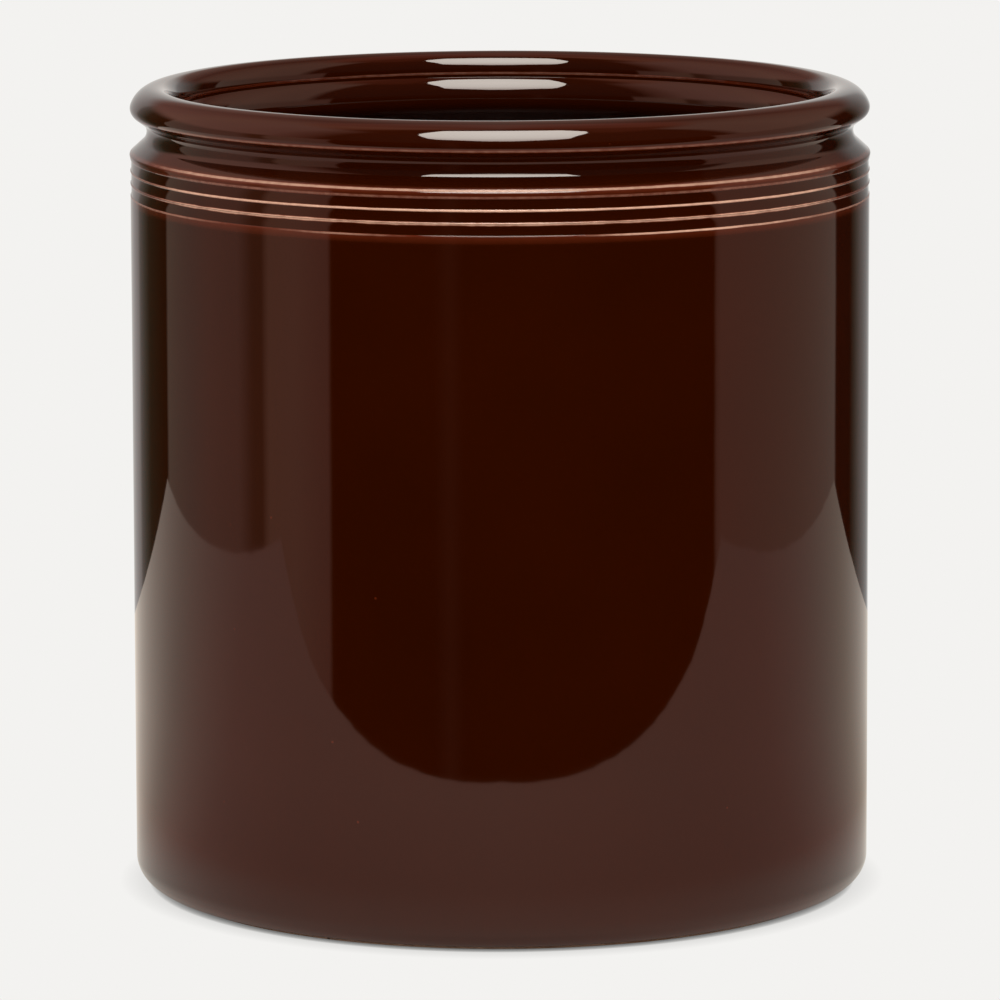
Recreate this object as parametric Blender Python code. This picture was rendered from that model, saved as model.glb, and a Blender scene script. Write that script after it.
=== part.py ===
"""Open coffee jar in glazed stoneware: straight body, turned grooves, waisted neck, rolled rim.

The fired clay is one piece. Over it lie three separate coats of glaze: one on the outside
and the rim, one inside, and one under the base. Each coat is a thin shell, a small gap off
the clay, so that the four solids come apart. The foot ring is bare and carries the jar.
Every outline is a list of (radius, height) points that is turned about the Z axis.
"""

import math

import bmesh
import bpy

# Whole jar, in metres: sizes are taken on the glazed surface
BODY_RADIUS = 0.065
BODY_DRAW = 0.00015
JAR_HEIGHT = 0.1415
WALL_THICKNESS = 0.0065
FLOOR_HEIGHT = 0.0090

# Glaze coats
GLAZE_THICKNESS = 0.00045
COAT_GAP = 0.0003

# Rolled rim: a broad curve falls outwards from its crest, and a tighter one turns under it.
# Its angles say how far the surface leans, in degrees.
ROLL_CREST_CURVE = 0.0048
ROLL_CREST_END = 20
ROLL_UNDERSIDE_RADIUS = 0.0017
ROLL_UNDERSIDE_ANGLE = 54
ROLL_INNER_WIDTH = 0.0034
ROLL_RISE = 0.0038

# Neck and shoulder
NECK_DEPTH = 0.0029
NECK_COVE_RADIUS = 0.0021
SHOULDER_COVE_RADIUS = 0.0021
SHOULDER_ANGLE = 47.5
BEAD_RADIUS = 0.0009
BEAD_RISE = 0.00012
BEAD_LAND = 0.0006

# Turned grooves below the bead: the glaze half fills the grooves in the clay
GROOVE_COUNT = 3
GROOVE_PITCH = 0.0022
RIDGE_WIDTH = 0.0005
GROOVE_DEPTH = 0.00015
CLAY_GROOVE_DEPTH = 0.00035

# Inside
INNER_LIP_LENGTH = 0.0007
INNER_NECK_DEPTH = 0.0018
INNER_NECK_ANGLE = 40
INNER_COVE_RADIUS = 0.0008
INNER_NECK_CURVE = 0.0044
INNER_SLOPE_ANGLE = 48
INNER_SLOPE_RADIUS = 0.0032
INNER_CORNER_RADIUS = 0.0090

# Foot
CORNER_RADIUS = 0.0043
FOOT_CLEARANCE = 0.0005
FOOT_WIDTH = 0.0060
FOOT_EDGE = 0.0003
RECESS_DEPTH = 0.0024
RECESS_SLOPE = 0.0016
BASE_GLAZE_MARGIN = 0.0015

# Facets
SEGMENTS = 40
FACE_STEPS = 4
BACK_STEPS = 3
MERGE_DISTANCE = 1e-6
SMOOTH_ANGLE = math.radians(35)

# Which way the clay lies from a surface, along the radius
CLAY_INWARD = -1
CLAY_OUTWARD = 1

# Fired colours, linear
CLAY_COLOUR = (0.42, 0.27, 0.17, 1.0)
GLAZE_COLOUR = (0.045, 0.008, 0.003, 1.0)
CLAY_ROUGHNESS = 0.8
GLAZE_ROUGHNESS = 0.08


def ogee_drop(across, angle, first_radius, second_radius):
    """Height of a curve that is upright at both ends: an arc, a straight bevel, and an arc that bends back."""
    radii = first_radius + second_radius
    lean = math.radians(angle)
    bevel = (across - radii * (1 - math.cos(lean))) / math.sin(lean)
    return radii * math.sin(lean) + bevel * math.cos(lean)


# Places that follow from the sizes
SHOULDER_RADIUS = BODY_RADIUS - BODY_DRAW
CREST_LEAN = math.radians(ROLL_CREST_END)
CREST_RADIUS = (
    SHOULDER_RADIUS - ROLL_UNDERSIDE_RADIUS * (1 - math.cos(CREST_LEAN)) - ROLL_CREST_CURVE * math.cos(CREST_LEAN)
)
OUTER_ROLL_HEIGHT = (
    JAR_HEIGHT - ROLL_CREST_CURVE * (1 - math.sin(CREST_LEAN)) - ROLL_UNDERSIDE_RADIUS * math.sin(CREST_LEAN)
)
NECK_RADIUS = SHOULDER_RADIUS - NECK_DEPTH
NECK_HEIGHT = OUTER_ROLL_HEIGHT - ogee_drop(
    NECK_DEPTH, ROLL_UNDERSIDE_ANGLE, ROLL_UNDERSIDE_RADIUS, NECK_COVE_RADIUS
)
BEAD_HEIGHT = NECK_HEIGHT - ogee_drop(NECK_DEPTH + BEAD_RISE, SHOULDER_ANGLE, SHOULDER_COVE_RADIUS, BEAD_RADIUS)
GROOVES_TOP = BEAD_HEIGHT - BEAD_LAND
INNER_ROLL_HEIGHT = JAR_HEIGHT - ROLL_RISE
INNER_LIP_RADIUS = CREST_RADIUS - ROLL_INNER_WIDTH
INNER_LIP_HEIGHT = INNER_ROLL_HEIGHT - INNER_LIP_LENGTH
INNER_NECK_RADIUS = INNER_LIP_RADIUS - INNER_NECK_DEPTH
INNER_NECK_HEIGHT = INNER_LIP_HEIGHT - ogee_drop(
    INNER_NECK_DEPTH, INNER_NECK_ANGLE, INNER_COVE_RADIUS, INNER_NECK_CURVE
)
INNER_WALL_RADIUS = BODY_RADIUS - WALL_THICKNESS
INNER_WALL_HEIGHT = INNER_NECK_HEIGHT - ogee_drop(
    INNER_WALL_RADIUS - INNER_NECK_RADIUS, INNER_SLOPE_ANGLE, INNER_SLOPE_RADIUS, INNER_SLOPE_RADIUS
)
FOOT_OUTER_RADIUS = BODY_RADIUS - CORNER_RADIUS - COAT_GAP
FOOT_INNER_RADIUS = FOOT_OUTER_RADIUS - FOOT_WIDTH
RECESS_RADIUS = FOOT_INNER_RADIUS - RECESS_SLOPE
CLAY_COVER = GLAZE_THICKNESS + COAT_GAP


def arc(centre, reach, start, end, steps):
    """Points from one angle to another, in degrees, on an ellipse with the given half widths."""
    points = []
    for step in range(steps + 1):
        angle = math.radians(start + (end - start) * step / steps)
        points.append((centre[0] + reach[0] * math.cos(angle), centre[1] + reach[1] * math.sin(angle)))
    return points


def chain(*pieces):
    """One outline from several that follow each other, without the points that repeat."""
    outline = []
    for point in (point for piece in pieces for point in piece):
        if not outline or math.dist(outline[-1], point) > MERGE_DISTANCE:
            outline.append(point)
    return outline


def ogee(start, end, angle, first_radius, second_radius, cover, clay_side, steps):
    """A curve down from start to end, upright at both: an arc, a straight bevel, and an arc that bends back.

    The cover moves the curve into the clay: it shrinks the arc round the clay and widens the other.
    """
    side = math.copysign(1, end[0] - start[0])
    first_reach = first_radius - cover * side * clay_side
    second_reach = second_radius + cover * side * clay_side
    first_centre = (start[0] + side * first_radius, start[1])
    second_centre = (end[0] - side * second_radius, end[1])
    return [
        *arc(first_centre, (-side * first_reach, -first_reach), 0, angle, steps),
        *arc(second_centre, (side * second_reach, second_reach), angle, 0, steps),
    ]


def grooves(radius, depth, steps):
    """Shallow hollows down the outside, with a narrow ridge between one and the next."""
    points = []
    for number in range(GROOVE_COUNT):
        top = GROOVES_TOP - number * GROOVE_PITCH - RIDGE_WIDTH / 2
        length = GROOVE_PITCH - RIDGE_WIDTH
        for step in range(steps + 1):
            share = step / steps
            points.append((radius - depth * 4 * share * (1 - share), top - length * share))
    return points


def outer_outline(cover, groove_depth, steps):
    """The outside from the inner lip over the rim to the foot, at a depth under the glazed face."""
    inner_roll = (CREST_RADIUS, INNER_ROLL_HEIGHT)
    crest = (CREST_RADIUS, JAR_HEIGHT - ROLL_CREST_CURVE)
    crest_reach = ROLL_CREST_CURVE - cover
    underside = (SHOULDER_RADIUS - ROLL_UNDERSIDE_RADIUS, OUTER_ROLL_HEIGHT)
    underside_reach = ROLL_UNDERSIDE_RADIUS - cover
    roll = (SHOULDER_RADIUS, OUTER_ROLL_HEIGHT)
    neck = (NECK_RADIUS, NECK_HEIGHT)
    bead = (SHOULDER_RADIUS + BEAD_RISE, BEAD_HEIGHT)
    under_roll = (ROLL_UNDERSIDE_ANGLE, ROLL_UNDERSIDE_RADIUS, NECK_COVE_RADIUS)
    shoulder = (SHOULDER_ANGLE, SHOULDER_COVE_RADIUS, BEAD_RADIUS)
    corner = (BODY_RADIUS - CORNER_RADIUS, FOOT_CLEARANCE + CORNER_RADIUS)
    corner_reach = CORNER_RADIUS - cover
    return chain(
        arc(inner_roll, (ROLL_INNER_WIDTH - cover, ROLL_RISE - cover), 180, 90, steps),
        arc(crest, (crest_reach, crest_reach), 90, ROLL_CREST_END, steps),
        arc(underside, (underside_reach, underside_reach), ROLL_CREST_END, 0, 1),
        ogee(roll, neck, *under_roll, cover, CLAY_INWARD, steps),
        ogee(neck, bead, *shoulder, cover, CLAY_INWARD, steps),
        grooves(SHOULDER_RADIUS - cover, groove_depth, steps - 1),
        arc(corner, (corner_reach, corner_reach), 0, -90, steps),
    )


def inner_outline(cover, steps):
    """The inside from the lip down to the middle of the floor, at a depth under the glazed face."""
    lip = (INNER_LIP_RADIUS, INNER_LIP_HEIGHT)
    neck = (INNER_NECK_RADIUS, INNER_NECK_HEIGHT)
    wall = (INNER_WALL_RADIUS, INNER_WALL_HEIGHT)
    neck_curve = (INNER_NECK_ANGLE, INNER_COVE_RADIUS, INNER_NECK_CURVE)
    slope = (INNER_SLOPE_ANGLE, INNER_SLOPE_RADIUS, INNER_SLOPE_RADIUS)
    corner = (INNER_WALL_RADIUS - INNER_CORNER_RADIUS, FLOOR_HEIGHT + INNER_CORNER_RADIUS)
    corner_reach = INNER_CORNER_RADIUS + cover
    return chain(
        [(INNER_LIP_RADIUS + cover, INNER_ROLL_HEIGHT - COAT_GAP)],
        ogee(lip, neck, *neck_curve, cover, CLAY_OUTWARD, steps),
        ogee(neck, wall, *slope, cover, CLAY_OUTWARD, steps),
        arc(corner, (corner_reach, corner_reach), 0, -90, steps),
        [(0, FLOOR_HEIGHT - cover)],
    )


def foot_outline():
    """The bare ring that the jar stands on, and the shallow recess inside it."""
    return [
        (FOOT_OUTER_RADIUS, FOOT_CLEARANCE + CLAY_COVER),
        (FOOT_OUTER_RADIUS, FOOT_EDGE),
        (FOOT_OUTER_RADIUS - FOOT_EDGE, 0),
        (FOOT_INNER_RADIUS + FOOT_EDGE, 0),
        (FOOT_INNER_RADIUS, FOOT_EDGE),
        (RECESS_RADIUS, RECESS_DEPTH),
        (0, RECESS_DEPTH),
    ]


def material(name, colour, roughness):
    made = bpy.data.materials.new(name)
    made.use_nodes = True
    shader = made.node_tree.nodes["Principled BSDF"]
    shader.inputs["Base Color"].default_value = colour
    shader.inputs["Roughness"].default_value = roughness
    shader.inputs["Metallic"].default_value = 0
    made.diffuse_color = colour
    return made


def turned(name, outline, finish, parent, height=0):
    """A solid of revolution. An outline that leaves the axis and comes back to it closes there."""
    shape = bmesh.new()
    corners = [shape.verts.new((radius, 0, level)) for radius, level in outline]
    edges = [shape.edges.new(pair) for pair in zip(corners, corners[1:])]
    if outline[0][0] > 0:
        edges.append(shape.edges.new((corners[-1], corners[0])))
    bmesh.ops.spin(
        shape,
        geom=corners + edges,
        cent=(0, 0, 0),
        axis=(0, 0, 1),
        angle=math.tau,
        steps=SEGMENTS,
        use_merge=True,
    )
    bmesh.ops.remove_doubles(shape, verts=shape.verts, dist=MERGE_DISTANCE)
    bmesh.ops.recalc_face_normals(shape, faces=shape.faces)
    mesh = bpy.data.meshes.new(name)
    shape.to_mesh(mesh)
    shape.free()
    mesh.materials.append(finish)
    mesh.shade_smooth()
    mesh.set_sharp_from_angle(angle=SMOOTH_ANGLE)
    made = bpy.data.objects.new(name, mesh)
    made.location = (0, 0, height)
    made.parent = parent
    bpy.context.collection.objects.link(made)
    return made


def stoneware_body(clay, jar):
    """The fired clay: floor, wall, neck and rolled rim in one, under its coats of glaze."""
    inside = inner_outline(CLAY_COVER, BACK_STEPS)[::-1]
    outside = outer_outline(CLAY_COVER, CLAY_GROOVE_DEPTH, BACK_STEPS)
    turned("stoneware_body", chain(inside, outside, foot_outline()), clay, jar)


def outer_glaze(glaze, jar):
    """The coat over the rim and down the outside. It stops just above the table."""
    face = outer_outline(0, GROOVE_DEPTH, FACE_STEPS)
    back = outer_outline(GLAZE_THICKNESS, CLAY_GROOVE_DEPTH, BACK_STEPS)[::-1]
    turned("outer_glaze", chain(face, back), glaze, jar)


def liner_glaze(glaze, jar):
    """The coat inside, from just under the lip to the floor."""
    face = inner_outline(0, FACE_STEPS)[::-1]
    back = inner_outline(GLAZE_THICKNESS, BACK_STEPS)
    turned("liner_glaze", chain(face, back), glaze, jar)


def base_glaze(glaze, jar):
    """The disc of glaze on the underside, inside the foot ring, with a thinned edge."""
    radius = RECESS_RADIUS - BASE_GLAZE_MARGIN
    outline = [(0, 0), (radius, 0), (radius - GLAZE_THICKNESS, -GLAZE_THICKNESS), (0, -GLAZE_THICKNESS)]
    turned("base_glaze", outline, glaze, jar, height=RECESS_DEPTH - COAT_GAP)


def main():
    for old in list(bpy.data.objects):
        bpy.data.objects.remove(old, do_unlink=True)
    jar = bpy.data.objects.new("coffee_jar", None)
    bpy.context.collection.objects.link(jar)
    clay = material("bare_fired_stoneware", CLAY_COLOUR, CLAY_ROUGHNESS)
    glaze = material("brown_gloss_glaze", GLAZE_COLOUR, GLAZE_ROUGHNESS)
    stoneware_body(clay, jar)
    outer_glaze(glaze, jar)
    liner_glaze(glaze, jar)
    base_glaze(glaze, jar)


if __name__ == "__main__":
    main()
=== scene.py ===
"""Looks of an open coffee jar in brown glazed stoneware, in a plain pale studio.

The jar is one pot in four layers, all turned about the Z axis: the fired clay, the coat of glaze
over the rim and down the outside, the coat inside, and the disc of glaze under the base.
"""

import math
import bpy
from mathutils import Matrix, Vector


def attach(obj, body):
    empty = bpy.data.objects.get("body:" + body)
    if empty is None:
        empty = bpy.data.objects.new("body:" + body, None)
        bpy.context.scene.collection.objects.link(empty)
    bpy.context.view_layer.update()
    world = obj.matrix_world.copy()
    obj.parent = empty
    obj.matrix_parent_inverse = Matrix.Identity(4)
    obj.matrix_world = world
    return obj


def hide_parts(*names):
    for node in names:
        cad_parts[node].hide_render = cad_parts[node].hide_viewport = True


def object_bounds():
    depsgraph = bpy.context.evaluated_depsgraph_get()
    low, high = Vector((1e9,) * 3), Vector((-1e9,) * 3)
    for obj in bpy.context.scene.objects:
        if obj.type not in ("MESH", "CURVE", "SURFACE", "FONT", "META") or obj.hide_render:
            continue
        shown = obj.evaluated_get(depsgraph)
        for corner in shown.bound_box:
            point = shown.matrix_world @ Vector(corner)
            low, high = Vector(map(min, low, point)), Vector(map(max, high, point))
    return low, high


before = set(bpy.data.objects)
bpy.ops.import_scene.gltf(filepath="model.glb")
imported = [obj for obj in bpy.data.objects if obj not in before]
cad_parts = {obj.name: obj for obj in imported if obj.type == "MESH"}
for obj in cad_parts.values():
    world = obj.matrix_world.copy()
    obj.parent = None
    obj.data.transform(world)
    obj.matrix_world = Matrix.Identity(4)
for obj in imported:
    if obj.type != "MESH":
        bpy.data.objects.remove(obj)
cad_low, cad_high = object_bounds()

from types import SimpleNamespace

import bpy
from bpy.props import FloatProperty, FloatVectorProperty, IntProperty, PointerProperty

bl_info = {
    "name": "Glazed Coffee Jar",
    "version": (1, 0, 0),
    "blender": (4, 5, 0),
    "location": "3D Viewport > Sidebar > Coffee Jar",
    "description": "Turns an open coffee jar in brown glazed stoneware and sets up a plain studio for it",
    "category": "Add Mesh",
}

MILLIMETRE = 0.001
MERGE_DISTANCE = 1e-6
SMOOTH_ANGLE = math.radians(35)

# Which way the clay lies from a surface, along the radius
CLAY_INWARD = -1
CLAY_OUTWARD = 1

# What the glaze mirrors, all round the jar: degrees round from the camera's side, and the shade there.
# Level with the jar: the bright backdrop, a dim corner, pale walls with a gap to the left, and a dark
# room in front.
LEVEL_SHADES = [
    (-180, "f9f3ed"), (-170, "d4d1cd"), (-156, "bdb6b3"), (-152, "b3ada8"), (-149.5, "89847e"),
    (-144, "616559"), (-139, "303f30"), (-125, "002719"), (-123.8, "a69584"), (-110, "ac9386"),
    (-100, "bf9586"), (-87, "c09586"), (-81, "796150"), (-76.6, "796150"), (-75.4, "daa68e"),
    (-65, "dfaa95"), (-53, "cb9384"), (-52, "000000"), (-20, "000000"), (-15, "5d3830"),
    (-11, "000000"), (67.9, "000000"), (69.1, "d39b8a"), (105, "ba9b8b"), (125.4, "ad9b8e"),
    (126.6, "001616"), (138, "0a1612"), (142, "4c5044"), (148, "7e7973"), (164, "adacaa"),
    (168, "d7d6d3"), (180, "f9f3ed"),
]
# Higher up: the lit tops of both walls, with the dark room in front
UPPER_SHADES = [
    (-180, "a6897e"), (-155, "996f65"), (-142, "bc897c"), (-125, "e7ad99"), (-100, "ffbfad"),
    (-80, "ffbcaa"), (-66, "c48979"), (-61, "896056"), (-58, "3a302e"), (-40, "273030"),
    (76, "273030"), (83, "e7b8a4"), (112, "daad99"), (128, "bc9584"), (140, "a67e6f"),
    (150, "7c5950"), (160, "906f65"), (180, "a6897e"),
]
# The ceiling round the softbox, lit towards the back
CEILING_SHADES = [
    (-180, "e7a293"), (-150, "d38979"), (-125, "e7907c"), (-105, "ffaa8e"), (-86, "e79076"),
    (-74, "6a4038"), (-62, "3a2c28"), (42, "3a2c28"), (60, "9a5548"), (90, "a0594b"),
    (110, "da816c"), (140, "d37c6c"), (180, "e7a293"),
]
# Where the upper shades and the ceiling's fade in, in degrees above level
UPPER_FADE = (18, 27)
CEILING_FADE = (58, 66)
# The table: warm in front, where it lies in the jar's own shade, and paler towards the backdrop
TABLE_SHADES = [
    (-180, "fcefe1"), (-145, "fcefe1"), (-123, "f3e1d1"), (-110, "e7d0c0"), (-95, "ecc4b5"),
    (-80, "ebb8aa"), (-40, "f1bdad"), (0, "f6c2b1"), (40, "ecbaaa"), (80, "ddada0"),
    (95, "dab5a8"), (110, "d7c0b1"), (123, "d8c7b6"), (145, "e5dace"), (180, "f3eadf"),
]
# The table close round the foot
FOOT_SHADES = [
    (-180, "ece8de"), (-80, "e8e0d5"), (-50, "eed0c3"), (-25, "f6cdbe"), (25, "f6cdbe"),
    (50, "eed0c3"), (80, "e8e0d5"), (180, "ece8de"),
]
# Where the table's shades take over from those close round the foot, in metres from the jar's axis
FOOT_FADE = (0.07, 0.11)
# How much light the table gets close to the foot: metres from the jar's axis, and the share of it
FOOT_SHARES = [
    (0.0605, 0.05), (0.062, 0.3), (0.064, 0.7), (0.067, 1.0), (0.08, 1.0), (0.12, 0.9), (0.2, 1.0),
]
# The soft shadow on the ground round the foot: how far each part of it reaches, and its darkest shade
FOOT_SHADOWS = [(1 * MILLIMETRE, 0.1), (4.5 * MILLIMETRE, 0.76)]
# The softbox overhead, from its brightest part to its dimmest edge
SOFTBOX_SHADES = [(0.0, "fff6ec"), (0.4, "f4ebe1"), (0.7, "d0c4ba"), (1.0, "a59b93")]
# Its outline, in metres to the right of the jar and behind it
SOFTBOX_CORNERS = [
    (0.15, -0.11), (-0.14, -0.13), (-0.20, -0.23), (-0.265, -0.34), (-0.30, -0.45),
    (-0.32, -0.56), (-0.34, -0.70), (-0.33, -0.80), (-0.22, -0.90), (-0.07, -1.035),
    (0.08, -1.04), (0.20, -0.93), (0.30, -0.83), (0.34, -0.74), (0.325, -0.65),
    (0.30, -0.52), (0.29, -0.41), (0.275, -0.30), (0.24, -0.20),
]
# The ground as it sends light back to the jar
PAPER_COLOUR = (0.75, 0.75, 0.74, 1)
# Cuts across the table, so that its front edge can bow
TABLE_CUTS = 31

# How far the melt drew off the edges, round the jar from the camera's side. Painted light too: the lines are
# strongest on the camera's side, under the softbox, and dimmer towards the sides, as the light falls on them
EDGE_SHARES_WITH_PAINTED_LIGHT = [
    (-180, 0.8), (-100, 0.6), (-68, 0.6), (-54, 1.0), (54, 1.0), (66, 0.55), (100, 0.6), (180, 0.8),
]
# How far the melt drew off the lowest edge of the grooves, round the jar from the camera's side: it is the
# most uneven
LAST_EDGE_SHARES = [
    (-180, 0.5), (-90, 0.55), (-60, 0.62), (-40, 0.42), (-25, 0.65), (-8, 0.40), (0, 0.30), (11, 0.48),
    (22, 0.95), (30, 1.0), (45, 0.85), (56, 0.65), (120, 0.5), (180, 0.5),
]
# The line along such an edge: how wide its even part is, as a share of its reach and at most, how far
# it wanders, and over what length
LINE_EVEN_SHARE = 0.45
LINE_EVEN_LIMIT = 0.16 * MILLIMETRE
LINE_WANDER = 0.12 * MILLIMETRE
WANDER_SIZE = 4 * MILLIMETRE
# The coat that ran down from the lowest edge: how far, how thin, and how soon it ends above the edge
RUN_REACH = 1.7 * MILLIMETRE
RUN_SHARE = 0.33
RUN_END = 0.2 * MILLIMETRE

# Glaze: size of the grain in its thin places, its clouds, its orange peel, and its pinholes, with how
# thin it is in them
GRAIN_SIZE = 1.5 * MILLIMETRE
CLOUD_SIZE = 25 * MILLIMETRE
PEEL_SIZE = 5 * MILLIMETRE
PEEL_DEPTH = 0.004 * MILLIMETRE
PINHOLE_SPACING = 11 * MILLIMETRE
PINHOLE_SHARE = 0.4

# Bare clay: size of its flashes, its specks of iron and its tooth
FLASH_SIZE = 12 * MILLIMETRE
SPECK_SPACING = 2.2 * MILLIMETRE
TOOTH_SIZE = 0.5 * MILLIMETRE
TOOTH_DEPTH = 0.03 * MILLIMETRE

# How rough the surfaces are, from 0 to 1, and how strongly they bend light
SHINY_GLAZE = 0.03
DRAWN_GLAZE = 0.35
DEEP_LINER = 0.5
BARE_CLAY = 0.85
REFRACTION = 1.5


def linear(code):
    """An sRGB hex colour as linear red, green and blue."""
    shares = [int(code[place:place + 2], 16) / 255 for place in (0, 2, 4)]
    return [share / 12.92 if share <= 0.04045 else ((share + 0.055) / 1.055) ** 2.4 for share in shares]


def length(name, description, default):
    """A distance that the user can change, in metres."""
    return FloatProperty(
        name=name, description=description, default=default, precision=5, subtype="DISTANCE", unit="LENGTH"
    )


def angle(name, description, degrees):
    """An angle that the user can change, given here in degrees."""
    return FloatProperty(
        name=name, description=description, default=math.radians(degrees), subtype="ANGLE", unit="ROTATION"
    )


def colour(name, description, code):
    """A colour that the user can change, given here as sRGB hex."""
    return FloatVectorProperty(
        name=name, description=description, default=linear(code), size=3, min=0, max=1, subtype="COLOR"
    )


def amount(name, description, default):
    """A plain number that the user can change."""
    return FloatProperty(name=name, description=description, default=default, min=0, precision=3)


def whole(name, description, default, least):
    """A whole number that the user can change."""
    return IntProperty(name=name, description=description, default=default, min=least)


def optics(name, description, millimetres):
    """A size in the camera that the user can change, in millimetres."""
    return FloatProperty(
        name=name, description=description, default=millimetres, subtype="DISTANCE_CAMERA"
    )


class JarSizes(bpy.types.PropertyGroup):
    """Sizes of the jar, taken on the glazed surface."""

    body_radius: length("Body radius", "Outside radius of the body, at its widest near the foot", cad_high.x)
    body_draw: length("Body draw", "How much less the radius is at the shoulder", 0.00015)
    jar_height: length("Jar height", "From the table to the crest of the rim", cad_high.z)
    wall_thickness: length("Wall thickness", "Clay and both coats of glaze", 0.0065)
    floor_height: length("Floor height", "From the table to the glazed floor inside", 0.0090)
    glaze_thickness: length("Glaze thickness", "Thickness of each coat", 0.00045)
    coat_gap: length("Coat gap", "Gap between a coat and the clay", 0.0003)
    seam_gap: length("Seam gap", "Gap between the outer coat and the liner, inside the lip", 0.00005)
    roll_crest_curve: length("Roll crest", "Radius of the broad curve from the crest out", 0.0048)
    roll_crest_end: angle("Roll crest end", "Where the broad curve ends, up from level", 20)
    roll_underside_radius: length("Roll underside", "Radius of the tighter curve that turns under", 0.0017)
    roll_underside_angle: angle("Underside lean", "Lean of the surface under the roll", 54)
    roll_inner_width: length("Roll inner width", "From the crest of the rim in", 0.0034)
    roll_rise: length("Roll rise", "From the lip's edge inside up to the crest", 0.0038)
    neck_depth: length("Neck depth", "How far the waist is drawn in from the shoulder", 0.0029)
    neck_cove_radius: length("Neck cove", "Radius where the roll turns into the waist", 0.0021)
    shoulder_cove_radius: length("Shoulder cove", "Radius where the waist turns into the slope", 0.00245)
    shoulder_angle: angle("Shoulder lean", "Lean of the slope from the waist to the bead", 47.5)
    bead_radius: length("Bead radius", "Radius where the slope turns into the bead", 0.00055)
    bead_rise: length("Bead rise", "How far the bead stands proud of the shoulder", 0.00012)
    bead_land: length("Bead land", "From the bead's widest point down to the first groove", 0.0006)
    groove_pitch: length("Groove pitch", "From one turned groove to the next", 0.0022)
    ridge_width: length("Ridge width", "Width of the ridge between two grooves, with its sides", 0.0005)
    groove_depth: length("Groove depth", "Depth of a groove in the glaze", 0.00015)
    groove_side: length("Groove side", "Height of the steep side of a groove", 0.00018)
    clay_groove_depth: length("Clay groove depth", "Depth of a groove in the clay", 0.00035)
    inner_lip_length: length("Inner lip", "Straight part just inside the roll", 0.0007)
    inner_neck_depth: length("Inner neck depth", "How far the inner neck is drawn in from the lip", 0.0018)
    inner_neck_angle: angle("Inner neck lean", "Lean of the surface from the lip to the inner neck", 45)
    inner_cove_radius: length("Inner cove", "Radius where the lip turns into the inner neck", 0.0001)
    inner_neck_curve: length("Inner neck curve", "Radius over the inner neck's narrowest point", 0.0059)
    inner_slope_angle: angle("Inner slope lean", "Lean of the slope from the inner neck to the wall", 48)
    inner_slope_radius: length("Inner slope radius", "Radius under the inner neck's narrowest point", 0.0032)
    inner_corner_radius: length("Inner corner", "Radius between the wall and the floor", 0.0090)
    corner_radius: length("Outer corner", "Radius at the bottom of the outside", 0.0043)
    foot_clearance: length("Foot clearance", "From the table to the lowest edge of the glaze", 0.0005)
    foot_width: length("Foot width", "Width of the bare ring that carries the jar", 0.0060)
    foot_edge: length("Foot edge", "Rounding on both edges of the foot ring", 0.0003)
    recess_depth: length("Recess depth", "From the table up to the underside", 0.0024)
    recess_slope: length("Recess slope", "Width of the slope inside the foot ring", 0.0016)
    base_glaze_margin: length("Base glaze margin", "Bare clay between the slope and the glaze", 0.0015)
    wall_row: length("Wall row", "Height of a row of faces on the straight walls", 0.0060)
    unevenness: length("Unevenness", "How far the thrown wall wanders from a true circle", 0.00005)
    throwing_wave: length("Throwing wave", "Distance from one swell of the thrown wall to the next", 0.034)
    groove_count: whole("Grooves", "Turned grooves under the bead", 3, 0)
    segments: whole("Segments", "Faces around the jar", 256, 24)
    arc_steps: whole("Arc steps", "Faces along a round stretch of the outline", 8, 4)


class JarColours(bpy.types.PropertyGroup):
    """Fired colours of the glaze and the clay."""

    glaze: colour("Glaze", "Brown glaze at its usual thickness", "2f0b00")
    pooled_glaze: colour("Pooled glaze", "Glaze where it ran thick", "2c0a00")
    thin_glaze: colour("Thin glaze", "Glaze where it ran thin, with the clay warming it", "5c2210")
    broken_glaze: colour("Broken glaze", "Glaze drawn off an edge, almost down to the clay", "e3b195")
    clay: colour("Clay", "Bare fired stoneware", "c9a184")
    clay_shade: colour("Clay shade", "Stoneware where it flashed darker in the fire", "a97c5c")
    iron_speck: colour("Iron speck", "Specks of iron in the bare clay", "5b3a28")


class StudioSizes(bpy.types.PropertyGroup):
    """The ground, the table and room that the glaze mirrors, the lamp and the camera."""

    camera_distance: length("Camera distance", "From the jar's axis to the lens", 1.2410)
    camera_height: length("Camera height", "From the table to the lens", 0.2684)
    camera_tilt: angle("Camera tilt", "How far the camera looks down", 9.19)
    camera_side: length("Camera side", "How far the lens stands to the right of the jar's axis", 0.00036)
    camera_roll: angle("Camera roll", "How far the camera leans", 0.145)
    camera_lens: optics("Lens", "Focal length", 255.8)
    sensor_width: optics("Sensor", "Width of the sensor", 36.0)
    table_half_width: length("Table half width", "From the jar's axis to either side of the table", 0.441)
    table_front: length("Table front", "From the jar's axis to the front edge of the table", 0.216)
    table_back: length("Table back", "From the jar's axis to the back edge of the table", 0.265)
    table_bow: length("Table bow", "How far the front edge is drawn back at its sides", 0.031)
    bow_reach: length("Bow reach", "From the jar's axis to where the front edge is straight again", 0.28)
    floor_half_width: length("Floor half width", "Half the width of the ground that the camera sees", 4.0)
    room_radius: length("Room radius", "From the jar to the walls and the ceiling", 1.5)
    softbox_height: length("Softbox height", "From the table to the softbox overhead", 0.894)
    softbox_middle: length("Softbox middle", "From the jar's axis to the softbox's brightest part", 0.374)
    softbox_reach: length("Softbox reach", "From its brightest part to its dimmest edge", 0.78)
    softbox_glow: amount("Softbox glow", "Brightness of the softbox at its brightest", 13.3)
    lamp_width: length("Lamp width", "Width of the lamp in the softbox", 0.54)
    lamp_power: FloatProperty(
        name="Lamp power", description="Power of the soft lamp overhead", default=2.8, unit="POWER"
    )
    room_light: amount("Room light", "Light that comes evenly from all sides", 0.85)
    background: colour("Background", "Pale ground and backdrop as the camera sees them", "f3f2f0")


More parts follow.
